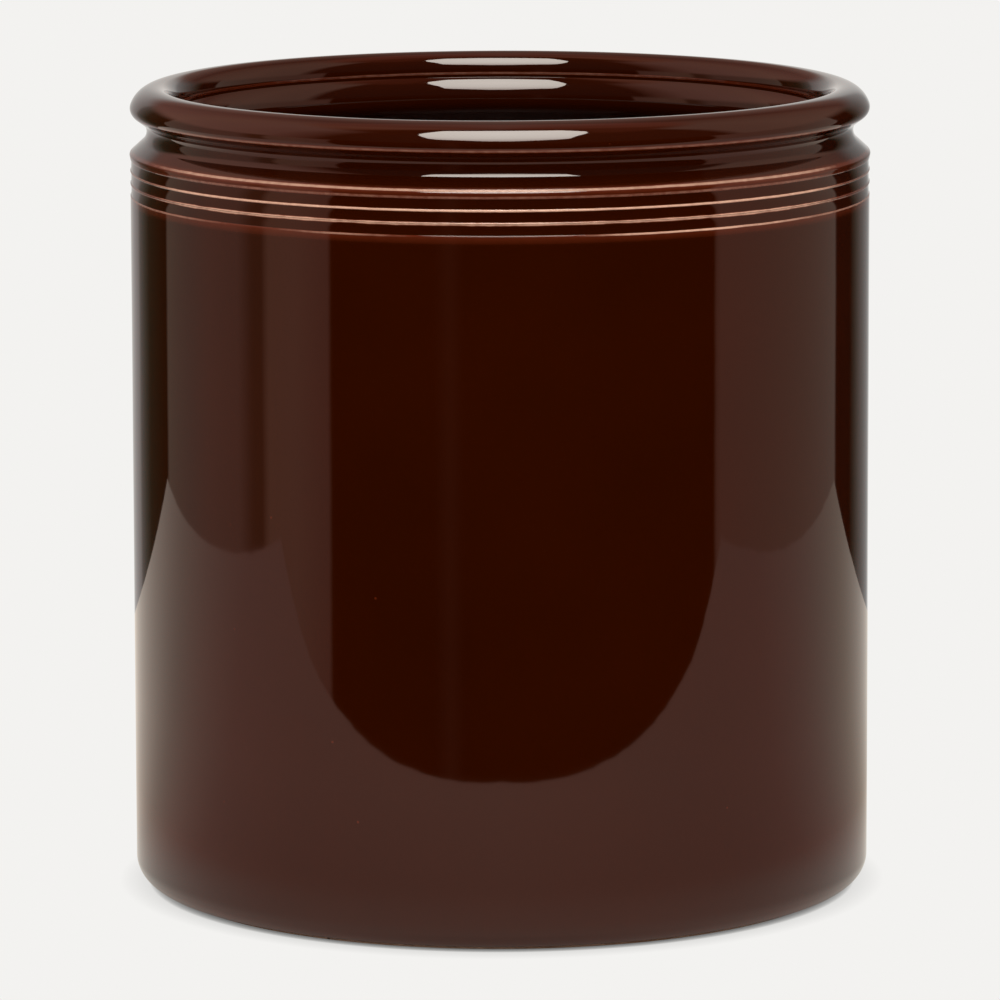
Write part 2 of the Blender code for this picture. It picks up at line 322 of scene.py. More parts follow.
def ogee_drop(across, lean, first_radius, second_radius):
    """Height of a curve, upright at both ends: an arc, a straight bevel, and an arc that bends back."""
    radii = first_radius + second_radius
    bevel = (across - radii * (1 - math.cos(lean))) / math.sin(lean)
    return radii * math.sin(lean) + bevel * math.cos(lean)


def places(jar):
    """Places on the outline that follow from the sizes."""
    at = SimpleNamespace()
    crest_sine, crest_cosine = math.sin(jar.roll_crest_end), math.cos(jar.roll_crest_end)
    at.shoulder_radius = jar.body_radius - jar.body_draw
    at.crest_radius = (
        at.shoulder_radius
        - jar.roll_underside_radius * (1 - crest_cosine)
        - jar.roll_crest_curve * crest_cosine
    )
    at.outer_roll_height = (
        jar.jar_height - jar.roll_crest_curve * (1 - crest_sine) - jar.roll_underside_radius * crest_sine
    )
    under_roll = (jar.roll_underside_angle, jar.roll_underside_radius, jar.neck_cove_radius)
    shoulder = (jar.shoulder_angle, jar.shoulder_cove_radius, jar.bead_radius)
    inner_neck = (jar.inner_neck_angle, jar.inner_cove_radius, jar.inner_neck_curve)
    inner_slope = (jar.inner_slope_angle, jar.inner_slope_radius, jar.inner_slope_radius)
    at.neck_radius = at.shoulder_radius - jar.neck_depth
    at.neck_height = at.outer_roll_height - ogee_drop(jar.neck_depth, *under_roll)
    at.bead_radius = at.shoulder_radius + jar.bead_rise
    at.bead_height = at.neck_height - ogee_drop(jar.neck_depth + jar.bead_rise, *shoulder)
    at.grooves_top = at.bead_height - jar.bead_land
    at.grooves_bottom = at.grooves_top - jar.groove_count * jar.groove_pitch
    at.inner_roll_height = jar.jar_height - jar.roll_rise
    at.inner_lip_radius = at.crest_radius - jar.roll_inner_width
    at.inner_lip_height = at.inner_roll_height - jar.inner_lip_length
    at.inner_neck_radius = at.inner_lip_radius - jar.inner_neck_depth
    at.inner_neck_height = at.inner_lip_height - ogee_drop(jar.inner_neck_depth, *inner_neck)
    at.inner_wall_radius = jar.body_radius - jar.wall_thickness
    at.inner_wall_height = at.inner_neck_height - ogee_drop(
        at.inner_wall_radius - at.inner_neck_radius, *inner_slope
    )
    at.wall_bottom = jar.foot_clearance + jar.corner_radius
    at.foot_outer_radius = jar.body_radius - jar.corner_radius - jar.coat_gap
    at.foot_inner_radius = at.foot_outer_radius - jar.foot_width
    at.recess_radius = at.foot_inner_radius - jar.recess_slope
    at.clay_cover = jar.glaze_thickness + jar.coat_gap
    return at


def arc(centre, reach, start, end, steps):
    """Points from one angle to another, in degrees, on an ellipse with the given half widths."""
    points = []
    for step in range(steps + 1):
        turn = math.radians(start + (end - start) * step / steps)
        points.append((centre[0] + reach[0] * math.cos(turn), centre[1] + reach[1] * math.sin(turn)))
    return points


def chain(*runs):
    """One outline from several that follow each other, without the points that repeat."""
    outline = []
    for point in (point for run in runs for point in run):
        if not outline or math.dist(outline[-1], point) > MERGE_DISTANCE:
            outline.append(point)
    return outline


def rows(start, end, height):
    """Points down a straight wall, about the given height apart."""
    count = max(1, round(abs(start[1] - end[1]) / height))
    points = []
    for step in range(count + 1):
        points.append(tuple(first + (last - first) * step / count for first, last in zip(start, end)))
    return points


def ogee(start, end, lean, first_radius, second_radius, cover, clay_side, steps):
    """A curve down from start to end, upright at both: an arc, a straight bevel, and an arc that bends back.

    The cover moves the curve into the clay: it shrinks the arc round the clay and widens the other.
    """
    side = math.copysign(1, end[0] - start[0])
    turn = math.degrees(lean)
    first_reach = first_radius - cover * side * clay_side
    second_reach = second_radius + cover * side * clay_side
    first_centre = (start[0] + side * first_radius, start[1])
    second_centre = (end[0] - side * second_radius, end[1])
    return [
        *arc(first_centre, (-side * first_reach, -first_reach), 0, turn, steps),
        *arc(second_centre, (side * second_reach, second_reach), turn, 0, steps),
    ]


def grooves(jar, at, radius, depth, steps):
    """Shallow flat grooves down the outside, with a narrow rounded ridge between one and the next."""
    upper_side = []
    for step in range(steps + 1):
        share = step / steps
        upper_side.append((jar.groove_side * share, (1 - math.cos(math.pi * share)) / 2))
    land = jar.ridge_width - 2 * jar.groove_side
    lower_side = [(jar.groove_pitch - land - fall, sunk) for fall, sunk in reversed(upper_side)]
    points = []
    for number in range(jar.groove_count):
        top = at.grooves_top - number * jar.groove_pitch - land / 2
        points += [(radius - depth * sunk, top - fall) for fall, sunk in (*upper_side, *lower_side)]
    return points


def outer_outline(jar, at, cover, groove_depth, steps):
    """The outside from the inner lip over the rim to the foot, at a depth under the glazed face."""
    inner_roll = (at.crest_radius, at.inner_roll_height)
    crest = (at.crest_radius, jar.jar_height - jar.roll_crest_curve)
    crest_reach = jar.roll_crest_curve - cover
    crest_end = math.degrees(jar.roll_crest_end)
    underside = (at.shoulder_radius - jar.roll_underside_radius, at.outer_roll_height)
    underside_reach = jar.roll_underside_radius - cover
    roll = (at.shoulder_radius, at.outer_roll_height)
    neck = (at.neck_radius, at.neck_height)
    bead = (at.bead_radius, at.bead_height)
    under_roll = (jar.roll_underside_angle, jar.roll_underside_radius, jar.neck_cove_radius)
    shoulder = (jar.shoulder_angle, jar.shoulder_cove_radius, jar.bead_radius)
    shoulder_end = (at.shoulder_radius - cover, at.grooves_bottom)
    corner = (jar.body_radius - jar.corner_radius, at.wall_bottom)
    corner_reach = jar.corner_radius - cover
    return chain(
        arc(inner_roll, (jar.roll_inner_width - cover, jar.roll_rise - cover), 180, 90, steps),
        arc(crest, (crest_reach, crest_reach), 90, crest_end, steps),
        arc(underside, (underside_reach, underside_reach), crest_end, 0, steps // 4),
        ogee(roll, neck, *under_roll, cover, CLAY_INWARD, steps),
        ogee(neck, bead, *shoulder, cover, CLAY_INWARD, steps),
        grooves(jar, at, at.shoulder_radius - cover, groove_depth, steps // 2),
        rows(shoulder_end, (jar.body_radius - cover, at.wall_bottom), jar.wall_row),
        arc(corner, (corner_reach, corner_reach), 0, -90, steps),
    )


def inner_outline(jar, at, cover, steps):
    """The inside from the lip down to the middle of the floor, at a depth under the glazed face."""
    lip = (at.inner_lip_radius, at.inner_lip_height)
    neck = (at.inner_neck_radius, at.inner_neck_height)
    wall = (at.inner_wall_radius, at.inner_wall_height)
    inner_neck = (jar.inner_neck_angle, jar.inner_cove_radius, jar.inner_neck_curve)
    inner_slope = (jar.inner_slope_angle, jar.inner_slope_radius, jar.inner_slope_radius)
    corner = (at.inner_wall_radius - jar.inner_corner_radius, jar.floor_height + jar.inner_corner_radius)
    corner_reach = jar.inner_corner_radius + cover
    face = at.inner_wall_radius + cover
    return chain(
        [(at.inner_lip_radius + cover, at.inner_roll_height - jar.seam_gap)],
        ogee(lip, neck, *inner_neck, cover, CLAY_OUTWARD, steps),
        ogee(neck, wall, *inner_slope, cover, CLAY_OUTWARD, steps),
        rows((face, wall[1]), (face, corner[1]), jar.wall_row),
        arc(corner, (corner_reach, corner_reach), 0, -90, steps),
        [(0, jar.floor_height - cover)],
    )


def rounded_end(jar, at, steps):
    """The lower end of the outer coat, where the melt drew itself round."""
    half = jar.glaze_thickness / 2
    middle = (jar.body_radius - jar.corner_radius, jar.foot_clearance + half)
    return arc(middle, (half, half), -90, -270, steps)


def foot_outline(jar, at):
    """The bare ring that the jar stands on, and the shallow recess inside it."""
    edge = (jar.foot_edge, jar.foot_edge)
    steps = jar.arc_steps // 2
    return chain(
        [(at.foot_outer_radius, jar.foot_clearance + at.clay_cover)],
        arc((at.foot_outer_radius - jar.foot_edge, jar.foot_edge), edge, 0, -90, steps),
        arc((at.foot_inner_radius + jar.foot_edge, jar.foot_edge), edge, 270, 180, steps),
        [(at.recess_radius, jar.recess_depth), (0, jar.recess_depth)],
    )


def deselect():
    """Leaves nothing selected, and no mesh in edit mode."""
    if bpy.context.object and bpy.context.object.mode != "OBJECT":
        bpy.ops.object.mode_set(mode="OBJECT")
    bpy.ops.object.select_all(action="DESELECT")


def turned(name, outline, segments):
    """A solid of revolution: a plane is shrunk to one corner, drawn out along the outline and spun.

    An outline that leaves the axis and comes back to it closes there, and any other is closed first.
    """
    deselect()
    start, rest = outline[0], outline[1:]
    bpy.ops.mesh.primitive_plane_add(size=MILLIMETRE, location=(start[0], 0, start[1]))
    piece = bpy.context.object
    piece.name = name
    piece.data.name = name
    bpy.ops.object.transform_apply(location=True, rotation=True, scale=True)
    bpy.ops.object.mode_set(mode="EDIT")
    bpy.ops.mesh.select_all(action="SELECT")
    bpy.ops.mesh.merge(type="CENTER")
    here = start
    for point in rest:
        move = (point[0] - here[0], 0, point[1] - here[1])
        bpy.ops.mesh.extrude_vertices_move(TRANSFORM_OT_translate={"value": move})
        here = point
    if start[0] > 0:
        bpy.ops.mesh.select_all(action="DESELECT")
        bpy.ops.object.mode_set(mode="OBJECT")
        piece.data.vertices[0].select = True
        piece.data.vertices[-1].select = True
        bpy.ops.object.mode_set(mode="EDIT")
        bpy.ops.mesh.edge_face_add()
    bpy.ops.mesh.select_all(action="SELECT")
    bpy.ops.mesh.spin(steps=segments, angle=math.tau, center=(0, 0, 0), axis=(0, 0, 1))
    bpy.ops.mesh.select_all(action="SELECT")
    bpy.ops.mesh.remove_doubles(threshold=MERGE_DISTANCE)
    bpy.ops.mesh.normals_make_consistent(inside=False)
    bpy.ops.object.mode_set(mode="OBJECT")
    bpy.ops.object.shade_smooth_by_angle(angle=SMOOTH_ANGLE)
    return piece


def throw(piece, jar):
    """Lets the wall wander inwards by a hair, as a wall that was thrown by hand does."""
    texture = bpy.data.textures.new("throwing_waves", type="CLOUDS")
    texture.noise_scale = jar.throwing_wave
    texture.noise_depth = 1
    waves = piece.modifiers.new("throwing_waves", "DISPLACE")
    waves.texture = texture
    waves.texture_coords = "LOCAL"
    waves.strength = jar.unevenness
    waves.mid_level = 1
    bpy.context.view_layer.objects.active = piece
    bpy.ops.object.modifier_apply(modifier=waves.name)
    bpy.data.textures.remove(texture)


def fit_out(piece, material, node):
    """Gives a piece its finish and its place in the jar."""
    piece.data.materials.clear()
    piece.data.materials.append(material)
    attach(piece, "root")
    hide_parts(node)


def new_material(name):
    """An empty material and its tree."""
    material = bpy.data.materials.new(name)
    material.use_nodes = True
    material.node_tree.nodes.clear()
    return material, material.node_tree


def node(tree, kind, sockets=None, **settings):
    """Adds a node with its settings. A socket takes a value, or a link from another node's output."""
    made = tree.nodes.new("ShaderNode" + kind)
    for setting, value in settings.items():
        setattr(made, setting, value)
    for socket, value in (sockets or {}).items():
        if isinstance(value, bpy.types.NodeSocket):
            tree.links.new(value, made.inputs[socket])
        else:
            made.inputs[socket].default_value = value
    return made


def mapped(tree, value, span, result=(0.0, 1.0), interpolation="LINEAR"):
    """A value carried over from its span to the result's, and held at either end."""
    return node(
        tree,
        "MapRange",
        {"Value": value, "From Min": span[0], "From Max": span[1], "To Min": result[0], "To Max": result[1]},
        interpolation_type=interpolation,
    ).outputs["Result"]


def maths(tree, operation, first, second):
    """What an operation makes of two numbers."""
    return node(tree, "Math", {0: first, 1: second}, operation=operation).outputs["Value"]


def largest(tree, values):
    """The largest of several values."""
    total = values[0]
    for value in values[1:]:
        total = maths(tree, "MAXIMUM", total, value)
    return total


def distance(tree, where, point):
    """How far a place is from a point."""
    return node(tree, "VectorMath", {0: where, 1: point}, operation="DISTANCE").outputs["Value"]


def noise(tree, where, size, detail):
    """Soft clouds of about the given size."""
    return node(tree, "TexNoise", {"Vector": where, "Scale": 1 / size, "Detail": detail})


def mixed(tree, share, first, second):
    """The first colour, and the second one where the share is 1."""
    return node(tree, "Mix", {"Factor": share, 6: first, 7: second}, data_type="RGBA").outputs[2]


def ramp(tree, factor, stops, interpolation="LINEAR"):
    """A colour ramp through the given (place, colour) stops."""
    made = node(tree, "ValToRGB", {"Fac": factor})
    made.color_ramp.interpolation = interpolation
    while len(made.color_ramp.elements) < len(stops):
        made.color_ramp.elements.new(1)
    for element, (place, shade) in zip(made.color_ramp.elements, stops):
        element.position = place
        element.color = (*shade, 1)
    return made.outputs["Color"]


def around(tree, where):
    """How far a place lies round the jar: 0.5 on the camera's side, and 0 and 1 at the back."""
    split = node(tree, "SeparateXYZ", {"Vector": where})
    front = maths(tree, "MULTIPLY", split.outputs["Y"], -1.0)
    turn = maths(tree, "ARCTAN2", split.outputs["X"], front)
    return mapped(tree, turn, (-math.pi, math.pi))


def round_stop(degrees):
    """The place of a stop on a ramp round the jar."""
    return (degrees + 180) / 360


def round_ramp(tree, turn, shades):
    """A colour ramp round the jar, through (degrees, hex colour) stops."""
    return ramp(tree, turn, [(round_stop(degrees), linear(code)) for degrees, code in shades])


def near_ring(tree, outline, ring):
    """The share of a (radius, height, reach, share) ring at a place on the outline: 0 out of its reach."""
    radius, height, reach, share = ring
    even = min(LINE_EVEN_SHARE * reach, LINE_EVEN_LIMIT)
    away = distance(tree, outline, (radius, 0, height))
    return mapped(tree, away, (even, reach), (share, 0.0), "SMOOTHSTEP")


def below_edge(tree, height, edge):
    """How thin the coat is that ran down from an edge at the given height: thinnest just below it."""
    fading = mapped(tree, height, (edge - RUN_REACH, edge), (0.0, RUN_SHARE), "SMOOTHSTEP")
    under = mapped(tree, height, (edge, edge + RUN_END), (1.0, 0.0))
    return maths(tree, "MULTIPLY", fading, under)


def thin_places_with_painted_light(tree, where, rings, uneven_rings, edge):
    """How thin the glaze ran, from 0 to 1, near the rings and below the edge, with painted light in the
    rings' share round the jar: stronger on the camera's side, dimmer at the sides.
    """
    split = node(tree, "SeparateXYZ", {"Vector": where})
    flat = node(tree, "CombineXYZ", {"X": split.outputs["X"], "Y": split.outputs["Y"]})
    across = node(tree, "VectorMath", {0: flat.outputs["Vector"]}, operation="LENGTH").outputs["Value"]
    outline = node(tree, "CombineXYZ", {"X": across, "Z": split.outputs["Z"]}).outputs["Vector"]
    found = []
    # Round the jar each group of rings follows its shares; those of the upper edges hold painted light,
    # strongest on the camera's side
    for group, shares in ((rings, EDGE_SHARES_WITH_PAINTED_LIGHT), (uneven_rings, LAST_EDGE_SHARES)):
        if group:
            near = largest(tree, [near_ring(tree, outline, ring) for ring in group])
            stops = [(round_stop(degrees), (share, share, share)) for degrees, share in shares]
            found.append(maths(tree, "MULTIPLY", near, ramp(tree, around(tree, where), stops, "EASE")))
    if edge:
        found.append(below_edge(tree, split.outputs["Z"], edge))
    return largest(tree, found)


def wandered(tree, where):
    """A place, shifted by a hair, so that the lines on the glaze wander."""
    clouds = noise(tree, where, WANDER_SIZE, 2.0).outputs["Color"]
    shift = node(tree, "VectorMath", {0: clouds, 1: (0.5, 0.5, 0.5)}, operation="SUBTRACT")
    shift = node(tree, "VectorMath", {0: shift.outputs["Vector"], "Scale": LINE_WANDER}, operation="SCALE")
    moved = node(tree, "VectorMath", {0: where, 1: shift.outputs["Vector"]}, operation="ADD")
    return moved.outputs["Vector"]


def pinholes(tree, where):
    """Tiny spots where a bubble broke through the melt, about a centimetre apart."""
    cells = node(tree, "TexVoronoi", {"Vector": where, "Scale": 1 / PINHOLE_SPACING})
    return mapped(tree, cells.outputs["Distance"], (0.012, 0.024), (PINHOLE_SHARE, 0.0))


def fired_surface(tree, shade, roughness, height, depth):
    """A fired surface with its colour, its roughness, and bumps of the given height and depth."""
    bump = node(tree, "Bump", {"Height": height, "Strength": 1.0, "Distance": depth})
    shader = node(
        tree,
        "BsdfPrincipled",
        {"Base Color": shade, "Roughness": roughness, "IOR": REFRACTION, "Normal": bump.outputs["Normal"]},
    )
    node(tree, "OutputMaterial", {"Surface": shader.outputs["BSDF"]})


def glaze_material(name, colours, rings, uneven_rings=(), edge=None, dull_depth=None):
    """Brown lead-free iron glaze over stoneware, dipped and fired glossy.

    The eye gets a deep, even brown that mirrors the room sharply, copper lines where the melt drew
    off the edges and lies dull on the clay, with painted light on them that is strongest on the
    camera's side and dimmer towards the sides, a faint orange peel and a few pinholes. The edges are
    (radius, height, reach, share) rings. A coat that ran down starts at the height of edge. Between
    the (shiny, dull) heights of dull_depth, down where the liner lies thick, it turns dull.
    """
    material, tree = new_material(name)
    where = node(tree, "TexCoord").outputs["Object"]
    # thin holds how thin the glaze ran, and painted light on the copper lines, stronger on the camera's side
    thin = thin_places_with_painted_light(tree, wandered(tree, where), rings, uneven_rings, edge)
    grain = noise(tree, where, GRAIN_SIZE, 3.0).outputs["Fac"]
    thin = maths(tree, "MULTIPLY", thin, mapped(tree, grain, (0.35, 0.6), (0.9, 1.0)))
    thin = largest(tree, [thin, pinholes(tree, where)])
    cloud = noise(tree, where, CLOUD_SIZE, 2.0).outputs["Fac"]
    even = ramp(tree, cloud, [(0.3, colours.pooled_glaze), (0.7, colours.glaze)])
    drawn = ramp(tree, thin, [(0.0, colours.glaze), (0.45, colours.thin_glaze), (1.0, colours.broken_glaze)])
    shade = mixed(tree, mapped(tree, thin, (0.0, 0.1)), even, drawn)
    dull = mapped(tree, thin, (0.3, 1.0), (SHINY_GLAZE, DRAWN_GLAZE))
    if dull_depth:
        shiny, deep = dull_depth
        height = node(tree, "SeparateXYZ", {"Vector": where}).outputs["Z"]
        dull = largest(tree, [dull, mapped(tree, height, (deep, shiny), (DEEP_LINER, SHINY_GLAZE))])
    peel = noise(tree, where, PEEL_SIZE, 1.0).outputs["Fac"]
    fired_surface(tree, shade, dull, peel, PEEL_DEPTH)
    return material


def clay_material(name, colours):
    """Buff stoneware, fired bare.

    The eye gets a matte, dry surface with a fine tooth, darker flashes and specks of iron.
    """
    material, tree = new_material(name)
    where = node(tree, "TexCoord").outputs["Object"]
    flashes = noise(tree, where, FLASH_SIZE, 4.0).outputs["Fac"]
    base = ramp(tree, flashes, [(0.35, colours.clay_shade), (0.65, colours.clay)])
    cells = node(tree, "TexVoronoi", {"Vector": where, "Scale": 1 / SPECK_SPACING})
    speck = mapped(tree, cells.outputs["Distance"], (0.10, 0.16), (1.0, 0.0))
    shade = mixed(tree, speck, base, (*colours.iron_speck, 1))
    tooth = noise(tree, where, TOOTH_SIZE, 3.0).outputs["Fac"]
    fired_surface(tree, shade, BARE_CLAY, tooth, TOOTH_DEPTH)
    return material


def outside_rings(jar, at):
    """Edges on the outside that the melt drew off, from the lip down: (radius, height, reach, share).

    They are the lip, the underside of the roll, the bead's crest and a wide glow round it, two
    ridges, and the upper and lower edge of the last ridge.
    """
    ridge = at.shoulder_radius
    last_ridge = at.grooves_top - 2 * jar.groove_pitch
    return [
        lip_ring(at),
        (ridge - 0.36 * MILLIMETRE, at.outer_roll_height - 1.05 * MILLIMETRE, 0.55 * MILLIMETRE, 0.54),
        (at.bead_radius - 0.38 * MILLIMETRE, at.bead_height + 0.58 * MILLIMETRE, 0.52 * MILLIMETRE, 0.8),
        (at.bead_radius - 0.20 * MILLIMETRE, at.bead_height + 0.40 * MILLIMETRE, 1.30 * MILLIMETRE, 0.38),
        (ridge, at.grooves_top + 0.02 * MILLIMETRE, 0.40 * MILLIMETRE, 0.54),
        (ridge, at.grooves_top - jar.groove_pitch + 0.02 * MILLIMETRE, 0.37 * MILLIMETRE, 1.0),
        (ridge, last_ridge + 0.20 * MILLIMETRE, 0.26 * MILLIMETRE, 0.9),
        (ridge, last_ridge - 0.22 * MILLIMETRE, 0.29 * MILLIMETRE, 1.0),
    ]


def last_edge(at):
    """The lowest edge of the grooves, as such a ring."""
    return (at.shoulder_radius, at.grooves_bottom + 0.06 * MILLIMETRE, 0.30 * MILLIMETRE, 1.0)


def lip_ring(at):
    """The edge inside the lip, where the outer coat and the liner meet, as such a ring."""
    return (at.inner_lip_radius, at.inner_roll_height, 0.30 * MILLIMETRE, 0.7)


class COFFEEJAR_OT_clay_body(bpy.types.Operator):
    """Turns the fired clay: floor, wall, neck, rolled rim and bare foot ring in one"""

    bl_idname = "coffee_jar.clay_body"
    bl_label = "Clay Body"

    def execute(self, context):
        jar = context.scene.jar_sizes
        at = places(jar)
        inside = inner_outline(jar, at, at.clay_cover, jar.arc_steps)[::-1]
        outside = outer_outline(jar, at, at.clay_cover, jar.clay_groove_depth, jar.arc_steps)
        piece = turned("clay_body", chain(inside, outside, foot_outline(jar, at)), jar.segments)
        finish = clay_material("buff_stoneware_fired_bare", context.scene.jar_colours)
        fit_out(piece, finish, "stoneware_body")
        return {"FINISHED"}


class COFFEEJAR_OT_outer_glaze(bpy.types.Operator):
    """Turns the coat of glaze over the rim and down the outside"""

    bl_idname = "coffee_jar.outer_glaze"
    bl_label = "Outer Glaze"

    def execute(self, context):
        jar = context.scene.jar_sizes
        at = places(jar)
        face = outer_outline(jar, at, 0, jar.groove_depth, 2 * jar.arc_steps)
        back = outer_outline(jar, at, jar.glaze_thickness, jar.clay_groove_depth, jar.arc_steps)[::-1]
        outline = chain(face, rounded_end(jar, at, jar.arc_steps), back)
        piece = turned("outer_glaze_coat", outline, jar.segments)
        throw(piece, jar)
        finish = glaze_material(
            "brown_iron_glaze_outside",
            context.scene.jar_colours,
            outside_rings(jar, at),
            uneven_rings=[last_edge(at)],
            edge=at.grooves_bottom,
        )
        fit_out(piece, finish, "outer_glaze")
        return {"FINISHED"}


class COFFEEJAR_OT_liner_glaze(bpy.types.Operator):
    """Turns the coat of glaze inside, from the lip to the floor"""

    bl_idname = "coffee_jar.liner_glaze"
    bl_label = "Liner Glaze"

    def execute(self, context):
        jar = context.scene.jar_sizes
        at = places(jar)
        face = inner_outline(jar, at, 0, 2 * jar.arc_steps)[::-1]
        back = inner_outline(jar, at, jar.glaze_thickness, jar.arc_steps)
        piece = turned("liner_glaze_coat", chain(face, back), jar.segments)
        finish = glaze_material(
            "brown_iron_glaze_inside",
            context.scene.jar_colours,
            [lip_ring(at)],
            dull_depth=(at.inner_wall_height, jar.floor_height + 4 * jar.inner_corner_radius),
        )
        fit_out(piece, finish, "liner_glaze")
        return {"FINISHED"}


class COFFEEJAR_OT_base_glaze(bpy.types.Operator):
    """Turns the disc of glaze on the underside, inside the foot ring"""

    bl_idname = "coffee_jar.base_glaze"
    bl_label = "Base Glaze"

    def execute(self, context):
        jar = context.scene.jar_sizes
        at = places(jar)
        radius = at.recess_radius - jar.base_glaze_margin
        top = jar.recess_depth - jar.coat_gap
        round_edge = (jar.glaze_thickness, jar.glaze_thickness)
        outline = chain(
            [(0, top)],
            arc((radius - jar.glaze_thickness, top), round_edge, 0, -90, jar.arc_steps),
            [(0, top - jar.glaze_thickness)],
        )
        piece = turned("base_glaze_disc", outline, jar.segments)
        rings = [(radius, top, 1.0 * MILLIMETRE, 0.6)]
        finish = glaze_material("brown_iron_glaze_underside", context.scene.jar_colours, rings)
        fit_out(piece, finish, "base_glaze")
        return {"FINISHED"}


def light_path(tree, *rays):
    """1 for the given kinds of ray, and 0 for the rest."""
    path = node(tree, "LightPath")
    return largest(tree, [path.outputs[ray] for ray in rays])


def only_mirrored(card):
    """A card that the glaze mirrors, and that neither shows nor lights the jar itself."""
    card.visible_camera = False
    card.visible_diffuse = False
    card.visible_transmission = False
    card.visible_volume_scatter = False
    card.visible_shadow = False


def glow_material(name, shades):
    """A surface that shines, as a lit wall does, with the shade and the strength that a function makes."""
    material, tree = new_material(name)
    shade, strength = shades(tree, node(tree, "TexCoord").outputs["Object"])
    glow = node(tree, "Emission", {"Color": shade, "Strength": strength})
    node(tree, "OutputMaterial", {"Surface": glow.outputs["Emission"]})
    return material


def room_material(studio):
    """Painted plaster in a dim room, in three bands of shades from level to the ceiling."""

    def shades(tree, where):
        turn = around(tree, where)
        height = node(tree, "SeparateXYZ", {"Vector": where}).outputs["Z"]
        shade = round_ramp(tree, turn, LEVEL_SHADES)
        for upper, fade in ((UPPER_SHADES, UPPER_FADE), (CEILING_SHADES, CEILING_FADE)):
            heights = [studio.room_radius * math.sin(math.radians(degrees)) for degrees in fade]
            share = mapped(tree, height, heights, interpolation="SMOOTHSTEP")
            shade = mixed(tree, share, shade, round_ramp(tree, turn, upper))
        return shade, 1.0

    return glow_material("painted_plaster", shades)


def softbox_material(studio):
    """White diffuser cloth, brightest over its lamp."""

    def shades(tree, where):
        away = distance(tree, where, (0, -studio.softbox_middle, studio.softbox_height))
        share = mapped(tree, away, (0.0, studio.softbox_reach))
        shade = ramp(tree, share, [(place, linear(code)) for place, code in SOFTBOX_SHADES])
        return shade, studio.softbox_glow

    return glow_material("white_diffuser_cloth", shades)


def table_material():
    """White laminate, warm in front, and dim close round the foot."""

    def shades(tree, where):
        turn = around(tree, where)
        away = node(tree, "VectorMath", {0: where}, operation="LENGTH").outputs["Value"]
        close = mapped(tree, away, FOOT_FADE, (1.0, 0.0))
        shade = mixed(tree, close, round_ramp(tree, turn, TABLE_SHADES), round_ramp(tree, turn, FOOT_SHADES))
        near, far = FOOT_SHARES[0][0], FOOT_SHARES[-1][0]
        stops = [((metres - near) / (far - near), (share, share, share)) for metres, share in FOOT_SHARES]
        return shade, ramp(tree, mapped(tree, away, (near, far)), stops)

    return glow_material("white_laminate", shades)


def ground_material(studio):
    """Matte white paper, evenly lit, with the soft shadow close round the foot."""
    material, tree = new_material("matte_white_paper")
    shade = 1.0
    for reach, darkest in FOOT_SHADOWS:
        corner = node(tree, "AmbientOcclusion", {"Distance": reach}, samples=16).outputs["AO"]
        shade = maths(tree, "MULTIPLY", shade, mapped(tree, corner, (0.0, 1.0), (darkest, 1.0)))
    glow = node(tree, "Emission", {"Color": (*studio.background, 1), "Strength": shade})
    plain = node(tree, "BsdfDiffuse", {"Color": PAPER_COLOUR})
    rays = light_path(tree, "Is Camera Ray", "Is Transmission Ray")
    seen = node(tree, "MixShader", {0: rays, 1: plain.outputs["BSDF"], 2: glow.outputs["Emission"]})
    node(tree, "OutputMaterial", {"Surface": seen.outputs["Shader"]})
    return material


class COFFEEJAR_OT_studio(bpy.types.Operator):
    """Sets up the pale ground, the soft light, the room that the glaze mirrors and the camera"""

    bl_idname = "coffee_jar.studio"
    bl_label = "Studio"

    def execute(self, context):
        studio = context.scene.studio_sizes
        add_ground(studio)
        add_table(studio)
        add_room(studio)
        add_softbox(studio)
        add_light(context, studio)
        add_camera(context, studio)
        context.scene.view_settings.view_transform = "Standard"
        return {"FINISHED"}


def add_ground(studio):
    """The pale ground that the camera sees, with the jar's soft shadow on it."""
    deselect()
    bpy.ops.mesh.primitive_plane_add(size=2 * studio.floor_half_width, location=(0, 0, 0))
    ground = bpy.context.object
    ground.name = "pale_ground"
    ground.visible_glossy = False
    ground.data.materials.append(ground_material(studio))


def add_table(studio):
    """The table as the glaze mirrors it, up to its edges. The front edge bows away at its sides."""
    deselect()
    depth = studio.table_front + studio.table_back
    middle = (studio.table_back - studio.table_front) / 2
    bpy.ops.mesh.primitive_plane_add(size=1, location=(0, middle, 0))
    table = bpy.context.object
    table.name = "table"
    table.scale = (2 * studio.table_half_width, depth, 1)
    bpy.ops.object.transform_apply(location=True, rotation=True, scale=True)
    bpy.ops.object.mode_set(mode="EDIT")
    bpy.ops.mesh.select_all(action="SELECT")
    bpy.ops.mesh.subdivide(number_cuts=TABLE_CUTS)
    bpy.ops.object.mode_set(mode="OBJECT")
    for vertex in table.data.vertices:
        side = min(1, abs(vertex.co.x) / studio.bow_reach)
        front = (studio.table_back - vertex.co.y) / depth
        vertex.co.y += studio.table_bow * side * front
    table.data.materials.append(table_material())
    only_mirrored(table)


def add_room(studio):
    """The room that the glaze mirrors above the table."""
    deselect()
    bpy.ops.mesh.primitive_uv_sphere_add(
        segments=96,
        ring_count=48,
        radius=studio.room_radius,
        location=(0, 0, 0),
    )
    room = bpy.context.object
    room.name = "room"
    room.data.materials.append(room_material(studio))
    only_mirrored(room)


def add_softbox(studio):
    """The softbox overhead, as the glaze mirrors it."""
    deselect()
    bpy.ops.mesh.primitive_circle_add(
        vertices=len(SOFTBOX_CORNERS),
        radius=1,
        fill_type="NGON",
        location=(0, 0, 0),
    )
    softbox = bpy.context.object
    softbox.name = "softbox"
    for vertex, (right, back) in zip(softbox.data.vertices, SOFTBOX_CORNERS):
        vertex.co = (right, back, studio.softbox_height)
    softbox.data.materials.append(softbox_material(studio))
    only_mirrored(softbox)


